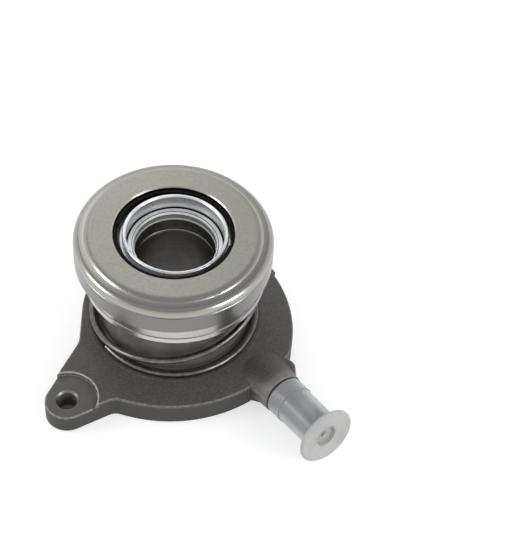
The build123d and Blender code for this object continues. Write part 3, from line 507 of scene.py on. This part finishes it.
# Piston: a ring moulded in glass-filled black plastic that slides on the guide tube. The backup ring
# behind its seal is of hard pale plastic.
black = Tree(bpy.data.materials.new("piston_plastic"))
specks = grain(black, 0.35)
black_skin = black.mix(specks.step(0.4, 0.8), colour(14, 14, 13), colour(28, 27, 25))
black_shader = black.add(
    "BsdfPrincipled",
    sockets={
        "Base Color": black_skin,
        "Roughness": 0.38 + 0.2 * specks,
        "Normal": bumps(black, specks * 0.01),
    },
)
dress(black, black_shader, "piston")

backup = Tree(bpy.data.materials.new("backup_plastic"))
specks = grain(backup, 1.0)
backup_skin = backup.mix(specks.step(0.3, 0.7), colour(196, 188, 168), colour(220, 214, 198))
backup_shader = backup.add(
    "BsdfPrincipled", sockets={"Base Color": backup_skin, "Roughness": 0.4 + 0.15 * specks}
)
dress(backup, backup_shader, "seal_backup_ring")

# Preload spring: dark oil-hardened wire with a grey sheen and rubbed streaks along it. It stands in
# the seat of the flange and presses the retainer and the bearing forward.
wire = Tree(bpy.data.materials.new("spring_wire"))
streaks = grain(wire, 1.6, 3.0)
tints = grain(wire, 6.0, 2.0)
wire_skin = wire.mix(streaks.step(0.35, 0.75), colour(108, 107, 104), colour(134, 132, 129))
wire_skin = wire.mix(tints.step(0.4, 0.7) * 0.5, wire_skin, colour(96, 93, 89))
wire_shader = wire.add(
    "BsdfPrincipled",
    sockets={
        "Base Color": wire_skin,
        "Metallic": 1.0,
        "Roughness": 0.26 + 0.1 * streaks,
        "Normal": bumps(wire, streaks * 0.002),
    },
)
dress(wire, wire_shader, "preload_spring")

# The spring shortens as the piston goes back, so a copy of it, with a mesh of its own, stands
# for the rigid one.
coil = bpy.data.objects.new("spring_coil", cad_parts["preload_spring"].data.copy())
bpy.context.scene.collection.objects.link(coil)
coil.data.materials.clear()
coil.data.materials.append(wire.owner)
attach(coil, "housing")
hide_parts("preload_spring")
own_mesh(coil)

# Spring retainer: a cup pressed from bright strip, with drawing lines round its wall. It sits under
# the flange of the carrier and holds the upper end of the spring.
strip = Tree(bpy.data.materials.new("retainer_steel"))
height = places(strip)[1]
draw_lines = turned(strip, height, 0.35)
cloud = grain(strip, 4.0, 3.0)
strip_skin = strip.mix(draw_lines.step(0.3, 0.7), colour(188, 187, 184), colour(210, 209, 206))
strip_skin = strip.mix(cloud.step(0.4, 0.75) * 0.3, strip_skin, colour(188, 186, 182))
strip_skin = strip.mix(rubbed(strip, 0.25) * 0.7, strip_skin, colour(236, 235, 232))
strip_shader = strip.add(
    "BsdfPrincipled",
    sockets={
        "Base Color": strip_skin,
        "Metallic": 1.0,
        "Roughness": 0.2 + 0.1 * cloud,
        "Anisotropic": 0.3,
        "Normal": bumps(strip, draw_lines * 0.006),
    },
)
dress(strip, strip_shader, "spring_retainer")

# Carrier sleeve: bright nickel-like steel, finely honed, the lightest metal of the unit. It carries
# the bearing and slides over the stop ring. Its bore is painted black from the ring down, a painted
# shadow in the gap beside the ring.
sleeve = Tree(bpy.data.materials.new("carrier_steel"))
radius, height = places(sleeve)
hone = turned(sleeve, height + radius, 0.3)
haze = grain(sleeve, 7.0, 2.0)
sleeve_skin = sleeve.mix(hone.step(0.3, 0.7), colour(214, 215, 216), colour(240, 240, 241))
sleeve_skin = sleeve.mix(haze.step(0.6, 0.35) * 0.5, sleeve_skin, colour(186, 188, 189))
sleeve_skin = sleeve.mix(rubbed(sleeve, 0.3) * 0.8, sleeve_skin, colour(248, 248, 248))
sleeve_bore = 16.4
# Painted shadow: the bore is black, dull and less metallic from the top of the stop ring down.
painted_gap_shadow = radius.step(sleeve_bore + 0.3, sleeve_bore + 0.1)
painted_gap_shadow = painted_gap_shadow * height.step(ring_top + 0.4, ring_top + 0.2)
sleeve_skin = sleeve.mix(painted_gap_shadow, sleeve_skin, colour(10, 10, 10))
sleeve_shader = sleeve.add(
    "BsdfPrincipled",
    sockets={
        "Base Color": sleeve_skin,
        "Metallic": 0.75 - 0.7 * painted_gap_shadow,
        "Roughness": 0.22 + 0.12 * haze + 0.3 * painted_gap_shadow,
        "Anisotropic": 0.4,
        "Normal": bumps(sleeve, hone * 0.005),
    },
)
dress(sleeve, sleeve_shader, "bearing_carrier")

# Release bearing: a ground inner ring and balls, a black cage and seals, and the pressed outer ring,
# whose front is satin where the clutch fingers press while its shoulders are polished.
bearing_axis = (-0.45, -0.45)
ground = Tree(bpy.data.materials.new("bearing_steel"))
radius, height = places(ground, bearing_axis)
marks = turned(ground, height + radius, 0.3)
ground_skin = ground.mix(marks.step(0.3, 0.7), colour(150, 149, 147), colour(190, 189, 187))
ground_shader = ground.add(
    "BsdfPrincipled",
    sockets={
        "Base Color": ground_skin,
        "Metallic": 1.0,
        "Roughness": 0.2 + 0.15 * marks,
        "Normal": bumps(ground, marks * 0.004),
    },
)
dress(ground, ground_shader, "bearing_inner_ring", "bearing_balls")

moulded = Tree(bpy.data.materials.new("seal_plastic"))
specks = grain(moulded, 0.5)
moulded_skin = moulded.mix(specks.step(0.4, 0.8), colour(6, 6, 6), colour(15, 15, 14))
# Specks of dust, which also stand for painted glints on the glossy black plastic.
dust = grain(moulded, 0.8, 5.0).step(0.6, 0.72)
moulded_skin = moulded.mix(dust * 0.2, moulded_skin, colour(116, 112, 106))
moulded_skin = moulded.mix(rubbed(moulded, 0.2) * 0.3, moulded_skin, colour(64, 61, 57))
moulded_shader = moulded.add(
    "BsdfPrincipled",
    sockets={
        "Base Color": moulded_skin,
        "Roughness": 0.22 + 0.16 * specks,
        "Specular IOR Level": 0.08,
        "Normal": bumps(moulded, specks * 0.01),
    },
)
dress(moulded, moulded_shader, "front_seal", "rear_seal", "ball_cage")

contact = Tree(bpy.data.materials.new("contact_steel"))
radius, height = places(contact, bearing_axis)
# The face that the clutch fingers press on, and the plain band round the ring.
face_height = 51.5
face_hole = 20.25
band_radius = 33.4
band_top = 47.5
face = height.step(face_height - 0.4, face_height - 0.05)
face = face * radius.step(face_hole + 0.25, face_hole + 0.55)
band = radius.step(band_radius - 0.5, band_radius - 0.1) * height.step(band_top + 0.4, band_top)
lathe = turned(contact, radius, 0.22)
around = turned(contact, height, 0.3)
cloud = grain(contact, 9.0, 3.0)
satin = contact.mix(lathe.step(0.3, 0.7), colour(156, 153, 147), colour(172, 169, 163))
satin = contact.mix(cloud.step(0.4, 0.65) * 0.5, satin, colour(170, 163, 153))
scuffs = grain(contact, 0.9, 5.0)
satin = contact.mix(scuffs.step(0.45, 0.7) * 0.35, satin, colour(138, 135, 130))
polished = contact.mix(around.step(0.3, 0.7), colour(158, 155, 149), colour(178, 175, 169))
band_skin = contact.mix(around.step(0.3, 0.7), colour(120, 119, 117), colour(138, 137, 135))
contact_skin = contact.mix(face, polished, satin)
contact_skin = contact.mix(band, contact_skin, band_skin)
contact_skin = contact.mix(rubbed(contact, 0.25) * 0.6, contact_skin, colour(232, 230, 226))
contact_shader = contact.add(
    "BsdfPrincipled",
    sockets={
        "Base Color": contact_skin,
        "Metallic": 1.0,
        "Roughness": 0.22 + 0.14 * face + 0.06 * cloud + 0.1 * scuffs * face,
        "Anisotropic": 0.3,
        "Normal": bumps(contact, lathe * face * 0.006 + around * (1 - face) * 0.004),
    },
)
dress(contact, contact_shader, "bearing_outer_ring")

# Sizes of the finished model beside those of the construction.
boxes = {"cad": cad_box, "visual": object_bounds()}
boxes = {name: [list(corner) for corner in box] for name, box in boxes.items()}
